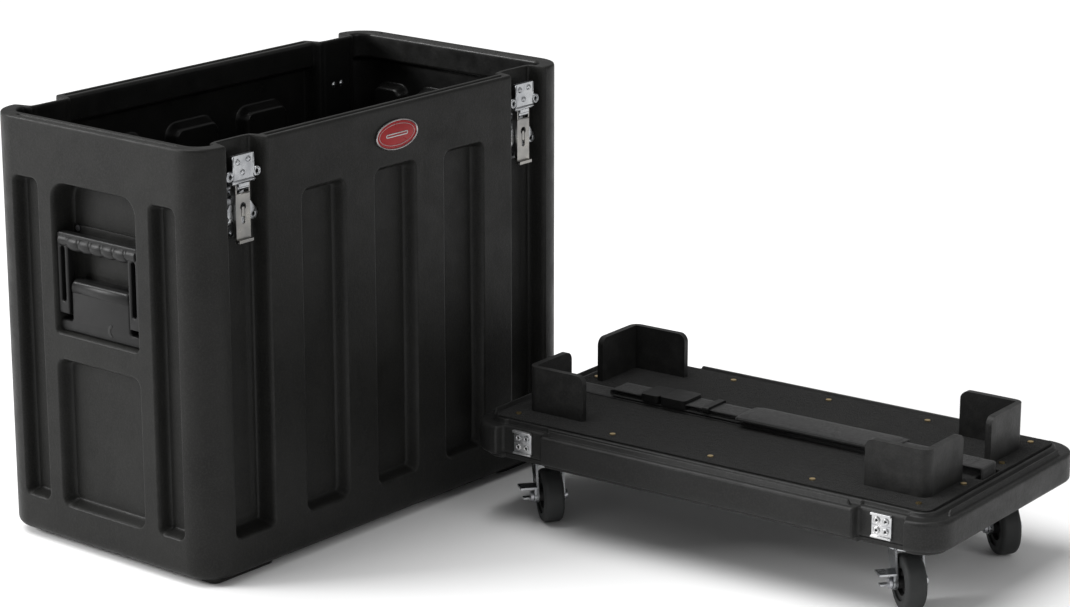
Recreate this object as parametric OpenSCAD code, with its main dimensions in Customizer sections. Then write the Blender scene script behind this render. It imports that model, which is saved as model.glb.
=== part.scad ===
// Transport case for a combo amplifier: a lift-off cover that stands open side up
// beside a wheeled base with a carpeted deck, corner brackets and a tie-down strap.
// Units are millimetres. +Z is up, the floor is z = 0, and the origin is the centre
// of the floor area taken up by the base and the cover together.

/* [Case] */
// Outside length of the cover and the base
case_len = 740; // [600:1:900]
// Outside width of the cover and the base
case_wid = 400; // [340:1:520]
// Plan corner radius
corner_r = 45; // [20:1:70]
// Moulded wall thickness
wall = 6; // [4:0.5:9]
// Height of the cover, pads included
cover_h = 590; // [450:1:760]
// Height of the stacking pads under the standing cover
pad_h = 8; // [4:1:14]
// Width of the solid rim
rim_w = 22; // [16:1:30]
// Height of the solid rim band
rim_h = 36; // [20:1:60]

/* [Layout] */
// Centre of the base, first axis
base_x = 245.2; // [0:0.1:500]
// Centre of the base, second axis
base_y = 213.65; // [0:0.1:500]
// Centre of the standing cover, first axis
cover_x = -396.8; // [-700:0.1:0]
// Centre of the standing cover, second axis
cover_y = -35.35; // [-400:0.1:200]
// Turn of the cover's long side from the first axis
cover_turn = 86.714; // [0:0.001:180]

/* [Recesses] */
// Depth of the stiffening recesses
rec_d = 18; // [8:1:26]
// Width of each long-side recess
rec_w = 84; // [50:1:110]
// Depth of the latch channels
chan_d = 26; // [18:1:34]
// Width of the latch channels
chan_w = 76; // [60:1:90]
// Latch centre from the middle of the long side
latch_x = 283; // [230:1:300]
// Depth of the handle pocket
pocket_d = 34; // [30:1:50]
// Width of the handle pocket
pocket_w = 160; // [130:1:180]
// Lower and upper edge of the handle pocket
pocket_z0 = 303; // [250:1:330]
// Upper edge of the handle pocket
pocket_z1 = 512; // [450:1:530]

/* [Base] */
// Underside of the thick base band
band_z0 = 101; // [90:1:120]
// Top of the base moulding
band_z1 = 142; // [130:1:170]
// Underside of the caster pads
pad_z = 98; // [85:1:110]
// Thickness of the deck panel
deck_t = 8; // [5:1:15]
// Height of the corner brackets
bracket_h = 64; // [40:1:90]
// Length of each bracket leg
bracket_l = 93; // [60:1:120]
// Thickness of a bracket leg
bracket_t = 9; // [4:1:14]
// Depth of the strike recesses
strike_d = 14; // [8:1:20]

/* [Casters] */
// Wheel radius
wheel_r = 37.5; // [30:0.5:45]
// Wheel width
wheel_w = 28; // [20:1:36]
// Swivel centre, long direction
swivel_x = 285; // [250:1:310]
// Swivel centre, short direction
swivel_y = 128; // [100:1:150]
// Wheel offset behind the swivel axis
trail = 20; // [12:1:30]
// Axle radius
axle_r = 4; // [3:0.1:6]

/* [Strap] */
// Webbing width
web_w = 38; // [25:1:50]
// Webbing thickness
web_t = 1.5; // [1:0.1:3]
// Strap slot position from the middle of the base
slot_x = 332; // [320:1:336]

/* [Hidden] */
$fn = 64;
hx = case_len / 2;
hy = case_wid / 2;
deck_z = band_z1 + deck_t;
tongue_in = 11;
cavity_z0 = pad_h + wall;
brx = 316;
bry = 131;
anchor_z = 126;
fold_a = 250;
run1 = deck_z + 1;
run2 = run1 + 4;
run3 = run2 + 8;
tray_x = -hx + pocket_d;
piv_y = -183;
piv_z = 540;
pin_y = -187;
pin_z = 528;
hp_x = -352;
hp_z = 336;
caster_pos = [[-1, -1, 318], [1, -1, 318], [1, 1, 318], [-1, 1, 300]];

// ---- placing ----
module on_base() {
    translate([base_x, base_y, 0]) children();
}

module on_cover() {
    translate([cover_x, cover_y, 0]) rotate([0, 0, cover_turn]) children();
}

// Latch 1 and 2 sit on the front face, 3 and 4 on the back face.
module at_latch(i) {
    on_cover() rotate([0, 0, i > 2 ? 180 : 0]) translate([i % 2 == 1 ? -latch_x : latch_x, 0, 0])
        children();
}

module at_handle(far) {
    on_cover() rotate([0, 0, far ? 180 : 0]) children();
}

module at_caster(i) {
    c = caster_pos[i - 1];
    on_base() translate([c[0] * swivel_x, c[1] * swivel_y, 0]) rotate([0, 0, c[2]]) children();
}

// ---- shapes ----
// Flat rectangle with true round corners, centred
module rrect(l, w, r) {
    square([l - 2 * r, w], center = true);
    square([l, w - 2 * r], center = true);
    for (x = [-1, 1], y = [-1, 1]) {
        translate([x * (l / 2 - r), y * (w / 2 - r)]) circle(r);
    }
}

module slab(l, w, r, z0, z1) {
    translate([0, 0, z0]) linear_extrude(z1 - z0) rrect(l, w, r);
}

// Block with round corners in the wall plane; y0 to y1 is the depth direction
module face_block_y(w, z0, z1, r, y0, y1) {
    translate([0, y1, (z0 + z1) / 2]) rotate([90, 0, 0]) linear_extrude(y1 - y0)
        rrect(w, z1 - z0, r);
}

module face_block_x(w, z0, z1, r, x0, x1) {
    translate([x0, 0, (z0 + z1) / 2]) rotate([90, 0, 90]) linear_extrude(x1 - x0)
        rrect(w, z1 - z0, r);
}

module rod_x(r, x0, x1, y, z) {
    translate([x0, y, z]) rotate([0, 90, 0]) cylinder(r = r, h = x1 - x0);
}

module rod_y(r, y0, y1, x, z) {
    translate([x, y1, z]) rotate([90, 0, 0]) cylinder(r = r, h = y1 - y0);
}

module box(x0, x1, y0, y1, z0, z1) {
    translate([x0, y0, z0]) cube([x1 - x0, y1 - y0, z1 - z0]);
}

// ---- cover ----
// Recesses of one long and one short side, grown by g, as solids
module side_recesses(g) {
    for (x = [-142, 0, 142]) {
        translate([x, 0, 0])
            face_block_y(rec_w + 2 * g, 60 - g, 508 + g, 14, -hy - 1, -hy + rec_d + g);
    }
    for (x = [-latch_x, latch_x]) {
        box(x - chan_w / 2 - g, x + chan_w / 2 + g, -hy - 1, -hy + chan_d + g, 60 - g,
            cover_h + 1);
    }
    for (y = [-130, 130]) {
        translate([0, y, 0])
            face_block_x(52 + 2 * g, 60 - g, 511 + g, 12, -hx - 1, -hx + rec_d + g);
    }
    face_block_x(pocket_w + 2 * g, 58 - g, 270 + g, 16, -hx - 1, -hx + rec_d + g);
    face_block_x(pocket_w + 2 * g, pocket_z0 - g, pocket_z1 + g, 24, -hx - 1,
        -hx + pocket_d + g);
}

module recesses(g) {
    for (a = [0, 180]) {
        rotate([0, 0, a]) side_recesses(g);
    }
}

module rim_groove() {
    for (s = [-1, 1]) {
        box(-239, 239, s * (hy - tongue_in) - 3, s * (hy - tongue_in) + 3, cover_h - 9,
            cover_h + 1);
        box(s * (hx - tongue_in) - 3, s * (hx - tongue_in) + 3, -152, 152, cover_h - 9,
            cover_h + 1);
    }
}

module cover_shell() {
    color([0.13, 0.13, 0.13]) on_cover() difference() {
        union() {
            slab(case_len, case_wid, corner_r, pad_h, cover_h);
            for (x = [-1, 1], y = [-1, 1]) {
                translate([x * (hx - 80), y * (hy - 30), 0]) slab(120, 36, 12, 0, pad_h + 2);
            }
        }
        recesses(0);
        rim_groove();
        difference() {
            union() {
                slab(case_len - 2 * wall, case_wid - 2 * wall, corner_r - wall, cavity_z0,
                    cover_h - rim_h);
                slab(case_len - 2 * rim_w, case_wid - 2 * rim_w, corner_r - rim_w,
                    cover_h - rim_h - 1, cover_h + 1);
            }
            recesses(wall);
        }
    }
}

module badge() {
    color([0.6, 0.08, 0.08]) on_cover() translate([0, -hy, 549]) rotate([90, 0, 0]) {
        for (x = [-1, 1]) {
            translate([x * 20, 0, 0]) cylinder(r = 21, h = 2);
        }
        translate([-20, -21, 0]) cube([40, 42, 2]);
    }
}

// Wall plate of a latch with its two drop-shaped padlock ears
module latch_plate() {
    difference() {
        union() {
            translate([-17, 462]) square([34, 86]);
            for (s = [-1, 1]) {
                translate([s * 24, 489]) circle(8);
                polygon([[s * 10, 520], [s * 20, 516], [s * 31.5, 491.5], [s * 20, 482.5],
                    [s * 10, 478]]);
            }
        }
        for (s = [-1, 1]) {
            translate([s * 24, 489]) circle(3.6);
        }
    }
}

// ---- draw latch, drawn for a front-face channel with its centre at x = 0 ----
module latch_base(i) {
    color([0.72, 0.73, 0.75]) at_latch(i) difference() {
        union() {
            translate([0, -174, 0]) rotate([90, 0, 0]) linear_extrude(2) latch_plate();
            for (s = [-1, 1]) {
                box(s * 15.6 - 1, s * 15.6 + 1, piv_y, -174, piv_z - 5.5, piv_z + 5.5);
                rod_x(5.5, s * 15.6 - 1, s * 15.6 + 1, piv_y, piv_z);
            }
        }
        rod_x(2.55, -30, 30, piv_y, piv_z);
    }
}

module latch_lever(i) {
    color([0.76, 0.77, 0.79]) at_latch(i) difference() {
        union() {
            box(-13, 13, -190, -188, 460, 521);
            box(-13, 13, -195, -188, 456, 460);
            for (s = [-1, 1]) {
                box(s * 12 - 1, s * 12 + 1, -190, -181, 500, piv_z);
                rod_x(5.5, s * 12 - 1, s * 12 + 1, piv_y, piv_z);
                box(s * 12 - 1, s * 12 + 1, -190, -185, 462, 500);
            }
            rod_x(2.4, -13, 13, pin_y, pin_z);
        }
        rod_x(2.65, -30, 30, piv_y, piv_z);
        face_block_y(7, 480, 504, 3.4, -192, -186);
        rod_y(5.5, -192, -186, 0, 503);
    }
}

module latch_hook(i) {
    color([0.78, 0.79, 0.8]) at_latch(i) difference() {
        union() {
            box(-19, 19, -192.5, -190.5, 536, 572);
            box(-19, 19, -192.5, -186.5, 570, 572);
            box(-9, 9, -192.5, -189, 530, 537);
            rod_x(4.2, -10.5, 10.5, pin_y, pin_z);
            for (s = [-1, 1]) {
                rod_y(6, -192.5, -190.5, s * 24, 546);
                box(s * 19 - 3, s * 19 + 3, -192.5, -190.5, 541, 551);
            }
            for (p = [[-9, 564], [9, 564], [0, 548]]) {
                rod_y(3.5, -193.7, -190.5, p[0], p[1]);
            }
        }
        rod_x(2.5, -30, 30, pin_y, pin_z);
        for (s = [-1, 1]) {
            rod_y(3.2, -200, -180, s * 24, 546);
        }
    }
}

module latch_pins() {
    color([0.6, 0.61, 0.63]) for (i = [1:4]) {
        at_latch(i) rod_x(2.5, -17.5, 17.5, piv_y, piv_z);
    }
}

module latch_rivets() {
    color([0.7, 0.7, 0.72]) for (i = [1:4]) {
        for (x = [-8, 8], z = [468, 522]) {
            at_latch(i) rod_y(3, -177.5, -176, x, z);
        }
    }
}

// ---- recessed spring handle, drawn for the short face at x = -hx ----
module handle_tray(far) {
    color([0.09, 0.09, 0.09]) at_handle(far) difference() {
        union() {
            face_block_x(pocket_w - 4, pocket_z0 + 2, 450, 22, tray_x - 3, tray_x);
            face_block_x(108, 318, 380, 10, -364, tray_x - 2);
            box(-364, tray_x - 2, -54, 54, 318, 340);
            face_block_x(pocket_w - 4, pocket_z0 + 2, 350.5, 22, tray_x - 6, tray_x - 1);
        }
        rod_y(3.1, -90, 90, hp_x, hp_z);
        rod_x(12, -370, tray_x - 7, 0, 314);
        for (s = [-1, 1], z = [314, 444]) {
            rod_x(2.6, tray_x - 9, tray_x + 5, s * 62, z);
        }
    }
}

module handle_grip(far) {
    color([0.08, 0.08, 0.08]) at_handle(far) difference() {
        union() {
            for (s = [-1, 1]) {
                face_block_y_at(s * 66, 18);
            }
            box(-366, -353, -66, 66, 418, 440);
            rod_y(6.5, -66, 66, -359.5, 440);
        }
        rod_y(3.15, -90, 90, hp_x, hp_z);
        for (s = [-1, 1]) {
            translate([0, s * 66, 0]) face_block_x(8, 356, 420, 3.9, -370, -360);
        }
        for (y = [-44, -22, 0, 22, 44]) {
            rod_x(8, -375, -340, y, 412);
        }
    }
}

// One side arm of the grip
module face_block_y_at(y, w) {
    box(-366, -353, y - w / 2, y + w / 2, 336, 440);
    rod_y(7, y - w / 2, y + w / 2, hp_x, hp_z);
    box(-360, -345, y - w / 2, y + w / 2, 336, 350);
}

module handle_pins() {
    color([0.6, 0.6, 0.62]) for (f = [false, true]) {
        at_handle(f) rod_y(3, -77, 77, hp_x, hp_z);
    }
}

module handle_springs() {
    color([0.45, 0.45, 0.47]) for (f = [false, true], s = [-1, 1]) {
        at_handle(f) translate([hp_x, s * 55.5, hp_z]) rotate([90, 0, 0])
            rotate_extrude() translate([4.4, 0]) circle(1);
    }
}

module handle_screws() {
    color([0.62, 0.62, 0.64]) for (f = [false, true], s = [-1, 1]) {
        at_handle(f) rod_x(4, tray_x - 4.5, tray_x - 3, s * 62, 444);
        at_handle(f) rod_x(5, tray_x - 8, tray_x - 6, s * 62, 314);
    }
}

// ---- base ----
module strike_cuts(g) {
    for (a = [0, 180], x = [-latch_x, latch_x]) {
        rotate([0, 0, a]) box(x - chan_w / 2 - g, x + chan_w / 2 + g, -hy - 1,
            -hy + strike_d + g, band_z0 - 20, band_z1 + 20);
    }
}

module base_ribs() {
    for (sx = [-1, 1], sy = [-1, 1]) {
        box(sx * swivel_x - 56, sx * swivel_x + 56, sy * swivel_y - 46, sy * swivel_y + 46,
            pad_z, band_z1 - wall + 1);
    }
    for (x = [-120, 0, 120]) {
        box(x - 4, x + 4, -hy + 10, hy - 10, 112, band_z1 - wall + 1);
    }
    for (s = [-1, 1]) {
        for (y = [-38, 38]) {
            box(s * slot_x - 9, s * slot_x + 9, y - 5, y + 5, anchor_z - 10, band_z1 - wall + 1);
        }
    }
}

module base_tray() {
    color([0.14, 0.14, 0.14]) on_base() difference() {
        union() {
            difference() {
                union() {
                    slab(case_len, case_wid, corner_r, band_z0, band_z1);
                    slab(case_len - 24, case_wid - 24, corner_r - 12, pad_z - 4, band_z0 + 1);
                }
                difference() {
                    slab(case_len - 40, case_wid - 40, corner_r - 20, pad_z - 10,
                        band_z1 - wall);
                    strike_cuts(wall);
                    base_ribs();
                }
            }
            for (s = [-1, 1]) {
                box(-237, 237, s * (hy - tongue_in) - 2, s * (hy - tongue_in) + 2, band_z1 - 1,
                    band_z1 + 7);
                box(s * (hx - tongue_in) - 2, s * (hx - tongue_in) + 2, -150, 150,
                    band_z1 - 1, band_z1 + 7);
            }
            difference() {
                slab(696, 360, 18, band_z1 - 1, band_z1 + 6);
                slab(684, 348, 12, band_z1, band_z1 + 7);
            }
        }
        strike_cuts(0);
        for (s = [-1, 1]) {
            box(s * slot_x - 6, s * slot_x + 6, -24, 24, band_z1 - wall - 2, band_z1 + 1);
            rod_y(4.05, -45, 45, s * slot_x, anchor_z);
        }
    }
}

module deck_panel() {
    color([0.1, 0.1, 0.1]) on_base() difference() {
        slab(682, 346, 11, band_z1, deck_z);
        for (s = [-1, 1]) {
            box(s * slot_x - 6, s * slot_x + 6, -24, 24, band_z1 - 1, deck_z + 1);
        }
    }
}

module deck_screws() {
    color([0.72, 0.58, 0.3]) on_base() {
        for (x = [-316, -158, 0, 158, 316], y = [-152, 152]) {
            translate([x, y, deck_z]) cylinder(r = 4, h = 1.5);
        }
        for (x = [-326, 326], y = [-52, 52]) {
            translate([x, y, deck_z]) cylinder(r = 4, h = 1.5);
        }
    }
}

// Side view of one bracket leg: square at the corner, round at the free end
module bracket_leg() {
    l = bracket_l - 14;
    translate([-l + 12, 0]) square([l - 12, bracket_h]);
    translate([-l, 0]) square([l, bracket_h - 12]);
    translate([-l + 12, bracket_h - 12]) circle(12);
}

module corner_brackets() {
    color([0.12, 0.12, 0.12]) on_base() for (sx = [0, 1], sy = [0, 1]) {
        mirror([sx, 0, 0]) mirror([0, sy, 0]) difference() {
            union() {
                translate([brx - 14, bry, deck_z]) rotate([90, 0, 0])
                    linear_extrude(bracket_t) bracket_leg();
                translate([brx, bry - 14, deck_z]) rotate([90, 0, -90])
                    linear_extrude(bracket_t) mirror([1, 0]) bracket_leg();
                translate([brx - 14, bry - 14, deck_z]) cylinder(r = 14, h = bracket_h);
            }
            box(brx - bracket_l - 1, brx - bracket_t, bry - bracket_l - 1, bry - bracket_t,
                deck_z - 1, deck_z + bracket_h + 1);
        }
    }
}

module at_strikes() {
    on_base() for (a = [0, 180], x = [-latch_x, latch_x]) {
        rotate([0, 0, a]) translate([x, 0, 0]) children();
    }
}

module strike_plates() {
    color([0.75, 0.76, 0.78]) at_strikes() {
        box(-18, 18, -hy + strike_d - 2, -hy + strike_d, 108, 146);
        rod_x(2, -18, 18, -hy + strike_d - 3, 146);
        box(-18, 18, -hy + strike_d - 5, -hy + strike_d - 1, 106, 108.5);
    }
}

module strike_rivets() {
    color([0.7, 0.7, 0.72]) at_strikes() {
        for (x = [-8.5, 8.5], z = [118, 136]) {
            rod_y(4.2, -hy + strike_d - 3.6, -hy + strike_d - 2, x, z);
        }
    }
}

// ---- casters, drawn with the swivel axis at the origin and the wheel towards +x ----
module caster_plates() {
    color([0.7, 0.71, 0.73]) for (i = [1:4]) {
        at_caster(i) {
            cylinder_at(21, 84.4, pad_z - 2.5);
            cylinder_at(6, 77, 86);
            cylinder_at(9, 76.5, 79.4);
        }
        c = caster_pos[i - 1];
        on_base() translate([c[0] * swivel_x, c[1] * swivel_y, 0]) slab(100, 80, 8,
            pad_z - 3, pad_z);
    }
}

module cylinder_at(r, z0, z1) {
    translate([0, 0, z0]) cylinder(r = r, h = z1 - z0);
}

module caster_bolts() {
    color([0.62, 0.62, 0.64]) for (i = [1:4], x = [-40, 40], y = [-30, 30]) {
        c = caster_pos[i - 1];
        on_base() translate([c[0] * swivel_x + x, c[1] * swivel_y + y, pad_z - 7])
            cylinder(r = 6.5, h = 4, $fn = 6);
    }
}

module leg_profile() {
    polygon([[-15, 84], [17, 84], [29, 40], [12, 34]]);
    translate([trail, wheel_r]) circle(9.5);
}

module caster_fork(i) {
    color([0.74, 0.75, 0.77]) at_caster(i) difference() {
        union() {
            cylinder_at(24, 80, 84);
            for (y = [-17, 20]) {
                translate([0, y, 0]) rotate([90, 0, 0]) linear_extrude(3) leg_profile();
            }
        }
        cylinder_at(6.3, 70, 90);
        rod_y(axle_r + 0.05, -30, 30, trail, wheel_r);
    }
}

module caster_axle(i) {
    color([0.6, 0.61, 0.63]) at_caster(i) {
        rod_y(axle_r, -26, 24, trail, wheel_r);
        rod_y(7, 20, 24, trail, wheel_r);
        rod_y(7, -28, -24, trail, wheel_r);
    }
}

module wheel_hub(i) {
    color([0.12, 0.12, 0.12]) at_caster(i) translate([trail, 0, wheel_r]) rotate([90, 0, 0])
        rotate_extrude() {
            translate([axle_r + 0.1, -15.5]) square([8 - axle_r, 31]);
            translate([7, -5]) square([12, 10]);
            translate([18, -11]) square([7, 22]);
        }
}

module wheel_tyre(i) {
    color([0.07, 0.07, 0.07]) at_caster(i) translate([trail, 0, wheel_r]) rotate([90, 0, 0])
        rotate_extrude() {
            translate([25, -wheel_w / 2]) square([wheel_r - 31, wheel_w]);
            translate([25, -wheel_w / 2 + 6]) square([wheel_r - 25, wheel_w - 12]);
            for (s = [-1, 1]) {
                translate([wheel_r - 6, s * (wheel_w / 2 - 6)]) circle(6);
            }
        }
}

module brake_pedal(i) {
    color([0.78, 0.79, 0.8]) at_caster(i) difference() {
        union() {
            rod_y(9, -23.4, -20.4, trail, wheel_r);
            box(trail - 8, trail + 8, -23.4, -20.4, wheel_r, 52);
            box(trail - 10, trail + 12, -44, -20.4, 51, 53.5);
            box(trail - 16, trail, -23.4, -20.4, 29, 37);
            box(trail - 16, trail - 7.6, -36, -20.4, 30, 32.5);
        }
        rod_y(axle_r + 0.2, -30, -10, trail, wheel_r);
    }
}

// ---- strap, lying folded on the deck ----
module half_fold(r, s) {
    intersection() {
        difference() {
            circle(r + web_t / 2);
            circle(r - web_t / 2);
        }
        translate([s > 0 ? 0 : -8, -8]) square([8, 16]);
    }
}

module web_profile() {
    // first run, from the left slot to the right fold
    translate([-slot_x + 0.9, run1 - web_t / 2]) square([slot_x - 0.9 + fold_a, web_t]);
    translate([fold_a, run1 + 2]) half_fold(2, 1);
    // second run, back to the left fold
    translate([-fold_a, run2 - web_t / 2]) square([2 * fold_a, web_t]);
    translate([-fold_a, run2 + 4]) half_fold(4, -1);
    // third run, cut by the buckle
    translate([-fold_a, run3 - web_t / 2]) square([52, web_t]);
    translate([-130, run3 - web_t / 2]) square([slot_x - 0.9 + 130, web_t]);
    for (s = [-1, 1]) {
        top = s > 0 ? run3 : run1;
        translate([s * (slot_x + 1.75) - web_t / 2, anchor_z + 4.5])
            square([web_t, top - anchor_z - 4.5 - 2.65]);
        translate([s * (slot_x - 0.9), top - 2.65]) intersection() {
            difference() {
                circle(2.65 + web_t / 2);
                circle(2.65 - web_t / 2);
            }
            translate([s > 0 ? 0 : -5, 0]) square([5, 5]);
        }
        translate([s * slot_x, anchor_z]) difference() {
            circle(5.8);
            circle(4.3);
        }
    }
}

module strap_web() {
    color([0.06, 0.06, 0.06]) on_base() translate([0, web_w / 2, 0]) rotate([90, 0, 0])
        linear_extrude(web_w) web_profile();
}

module strap_sleeve() {
    color([0.08, 0.08, 0.08]) on_base() translate([-40, 0, run3]) rotate([90, 0, 90])
        linear_extrude(240) difference() {
            rrect(60, 12, 5.5);
            square([web_w + 2, web_t + 1], center = true);
        }
}

module buckle_socket() {
    color([0.05, 0.05, 0.05]) on_base() difference() {
        translate([-148, 0, 0]) slab(42, 46, 6, run3 - 6, run3 + 6);
        box(-135, -120, -web_w / 2 - 1, web_w / 2 + 1, run3 - 1.5, run3 + 1.5);
        box(-175, -140, -17, 17, run3 - 3.5, run3 + 3.5);
    }
}

module buckle_plug() {
    color([0.05, 0.05, 0.05]) on_base() difference() {
        union() {
            translate([-186, 0, 0]) slab(30, 46, 6, run3 - 5, run3 + 5);
            for (y = [-13, 0, 13]) {
                box(-172, -143, y - 3, y + 3, run3 - 3, run3 + 3);
            }
        }
        box(-210, -194, -web_w / 2 - 1, web_w / 2 + 1, run3 - 1.5, run3 + 1.5);
    }
}

module strap_keeper() {
    color([0.05, 0.05, 0.05]) on_base() translate([-98, 0, run3]) rotate([90, 0, 90])
        linear_extrude(10) difference() {
            rrect(web_w + 8, 9, 3);
            square([web_w + 1, web_t + 1], center = true);
        }
}

module strap_anchors() {
    color([0.6, 0.6, 0.62]) on_base() for (s = [-1, 1]) {
        rod_y(4, -43, 43, s * slot_x, anchor_z);
    }
}

cover_shell();
badge();
latch_base(1);  // latch_base_1
latch_base(2);  // latch_base_2
latch_base(3);  // latch_base_3
latch_base(4);  // latch_base_4
latch_lever(1);  // latch_lever_1
latch_lever(2);  // latch_lever_2
latch_lever(3);  // latch_lever_3
latch_lever(4);  // latch_lever_4
latch_hook(1);  // latch_hook_1
latch_hook(2);  // latch_hook_2
latch_hook(3);  // latch_hook_3
latch_hook(4);  // latch_hook_4
latch_pins();
latch_rivets();
handle_tray(false);  // handle_tray_near
handle_tray(true);  // handle_tray_far
handle_grip(false);  // handle_grip_near
handle_grip(true);  // handle_grip_far
handle_pins();
handle_springs();
handle_screws();
base_tray();
deck_panel();
deck_screws();
corner_brackets();
strike_plates();
strike_rivets();
caster_plates();
caster_bolts();
caster_fork(1);  // caster_fork_1
caster_fork(2);  // caster_fork_2
caster_fork(3);  // caster_fork_3
caster_fork(4);  // caster_fork_4
caster_axle(1);  // caster_axle_1
caster_axle(2);  // caster_axle_2
caster_axle(3);  // caster_axle_3
caster_axle(4);  // caster_axle_4
wheel_hub(1);  // wheel_hub_1
wheel_hub(2);  // wheel_hub_2
wheel_hub(3);  // wheel_hub_3
wheel_hub(4);  // wheel_hub_4
wheel_tyre(1);  // wheel_tyre_1
wheel_tyre(2);  // wheel_tyre_2
wheel_tyre(3);  // wheel_tyre_3
wheel_tyre(4);  // wheel_tyre_4
brake_pedal(1);  // brake_pedal_1
brake_pedal(2);  // brake_pedal_2
brake_pedal(3);  // brake_pedal_3
brake_pedal(4);  // brake_pedal_4
strap_web();
strap_sleeve();
buckle_socket();
buckle_plug();
strap_keeper();
strap_anchors();
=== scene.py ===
import math
import bmesh
import bpy
import numpy as np
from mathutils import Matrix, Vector


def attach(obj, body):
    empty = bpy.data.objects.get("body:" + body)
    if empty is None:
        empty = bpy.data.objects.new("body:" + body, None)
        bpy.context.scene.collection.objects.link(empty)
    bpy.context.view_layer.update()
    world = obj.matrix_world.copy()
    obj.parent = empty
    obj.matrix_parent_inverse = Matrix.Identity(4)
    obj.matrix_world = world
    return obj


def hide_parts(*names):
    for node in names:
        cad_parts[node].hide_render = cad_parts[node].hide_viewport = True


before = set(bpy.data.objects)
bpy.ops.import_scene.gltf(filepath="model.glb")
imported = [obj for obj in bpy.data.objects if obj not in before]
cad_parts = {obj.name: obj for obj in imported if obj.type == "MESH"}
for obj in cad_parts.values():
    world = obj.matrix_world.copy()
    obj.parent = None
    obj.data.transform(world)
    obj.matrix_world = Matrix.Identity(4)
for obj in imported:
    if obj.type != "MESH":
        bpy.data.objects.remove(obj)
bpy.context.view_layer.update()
MM = 0.001
BASE = np.array([245.2, 213.65])
COVER = np.array([-396.8, -35.35])
TURN = math.radians(86.714)
HX, HY = 370.0, 200.0                      # half length and half width of the cover and the base
PLAN_R = 45.0                              # plan corner radius of both
LATCH_X = 283.0                            # latches and strikes, from the middle of the long side
CHANNEL_HALF = 38.5                        # half width of latch channels and strike recesses
CHANNEL_DEPTH = 26
RECESS_DEPTH = 18
SIDES = ((-1, "l"), (1, "r"))


# ---------------------------------------------------------------- materials
def clear(name):
    m = bpy.data.materials.new(name)
    m.use_nodes = True
    t = m.node_tree
    t.nodes.clear()
    out = t.nodes.new("ShaderNodeOutputMaterial")
    b = t.nodes.new("ShaderNodeBsdfPrincipled")
    t.links.new(b.outputs[0], out.inputs[0])
    return m, t, b


def add(t, kind, **values):
    n = t.nodes.new(kind)
    for k, v in values.items():
        if hasattr(n, k):
            setattr(n, k, v)
        else:
            n.inputs[k.replace("_", " ")].default_value = v
    return n


def noise(t, coord, scale, detail=4.0, rough=0.55, stretch=None):
    n = add(t, "ShaderNodeTexNoise", Scale=scale, Detail=detail, Roughness=rough)
    if stretch:
        mp = t.nodes.new("ShaderNodeMapping")
        mp.inputs["Scale"].default_value = stretch
        t.links.new(coord, mp.inputs["Vector"])
        coord = mp.outputs[0]
    t.links.new(coord, n.inputs["Vector"])
    return n.outputs["Fac"]


def ramp(t, fac, stops):
    r = t.nodes.new("ShaderNodeValToRGB")
    els = r.color_ramp.elements
    while len(els) < len(stops):
        els.new(0.5)
    for e, (p, c) in zip(els, stops):
        e.position = p
        e.color = (c[0], c[1], c[2], 1) if hasattr(c, "__len__") else (c, c, c, 1)
    t.links.new(fac, r.inputs[0])
    return r.outputs[0]


def mix(t, fac, a, b, mode="MIX"):
    m = t.nodes.new("ShaderNodeMix")
    m.data_type = "RGBA"
    m.blend_type = mode
    for sock, v in ((m.inputs[0], fac), (m.inputs[6], a), (m.inputs[7], b)):
        if hasattr(v, "links") or hasattr(v, "is_linked"):
            t.links.new(v, sock)
        elif hasattr(v, "__len__"):
            sock.default_value = (v[0], v[1], v[2], 1)
        else:
            sock.default_value = v
    return m.outputs[2]


def math_node(t, op, a, b=0.0):
    m = t.nodes.new("ShaderNodeMath")
    m.operation = op
    for sock, v in ((m.inputs[0], a), (m.inputs[1], b)):
        if hasattr(v, "is_linked"):
            t.links.new(v, sock)
        else:
            sock.default_value = v
    return m.outputs[0]


def bump(t, b, height, strength, distance, before=None):
    n = t.nodes.new("ShaderNodeBump")
    n.inputs["Strength"].default_value = strength
    n.inputs["Distance"].default_value = distance
    t.links.new(height, n.inputs["Height"])
    if before is not None:
        t.links.new(before, n.inputs["Normal"])
    t.links.new(n.outputs[0], b.inputs["Normal"])
    return n.outputs[0]


def obj_coord(t):
    return t.nodes.new("ShaderNodeTexCoord").outputs["Object"]


def moulded(name, dark, light, rough=0.5, spec=0.35, grain=0.35):
    """Rotomoulded polyethylene: pebble grain, faint cloudy colour, rubbed edges, light dust."""
    m, t, b = clear(name)
    c = obj_coord(t)
    cloud = noise(t, c, 9.0, 3.0)
    speck = noise(t, c, 420.0, 3.0, 0.7)
    base = mix(t, ramp(t, cloud, [(0.35, 0.0), (0.7, 1.0)]), dark, light)
    base = mix(t, ramp(t, speck, [(0.45, 0.0), (0.62, 0.6)]), base, [v * 1.55 for v in light])
    geo = t.nodes.new("ShaderNodeNewGeometry")
    edge = ramp(t, geo.outputs["Pointiness"], [(0.5, 0.0), (0.56, 0.35)])
    scuff = ramp(t, noise(t, c, 60.0, 5.0), [(0.45, 0.0), (0.7, 1.0)])
    wear = math_node(t, "MULTIPLY", edge, scuff)
    base = mix(t, wear, base, [v * 2.6 for v in light])
    t.links.new(base, b.inputs["Base Color"])
    r = ramp(t, noise(t, c, 35.0, 4.0), [(0.3, rough - 0.07), (0.75, rough + 0.09)])
    t.links.new(r, b.inputs["Roughness"])
    b.inputs["Specular IOR Level"].default_value = spec
    n1 = bump(t, b, speck, grain, 0.0006)
    n2 = bump(t, b, noise(t, c, 150.0, 2.0), grain * 0.7, 0.0009, n1)
    bump(t, b, noise(t, c, 14.0, 2.0), 0.25, 0.0016, n2)
    return m


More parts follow.
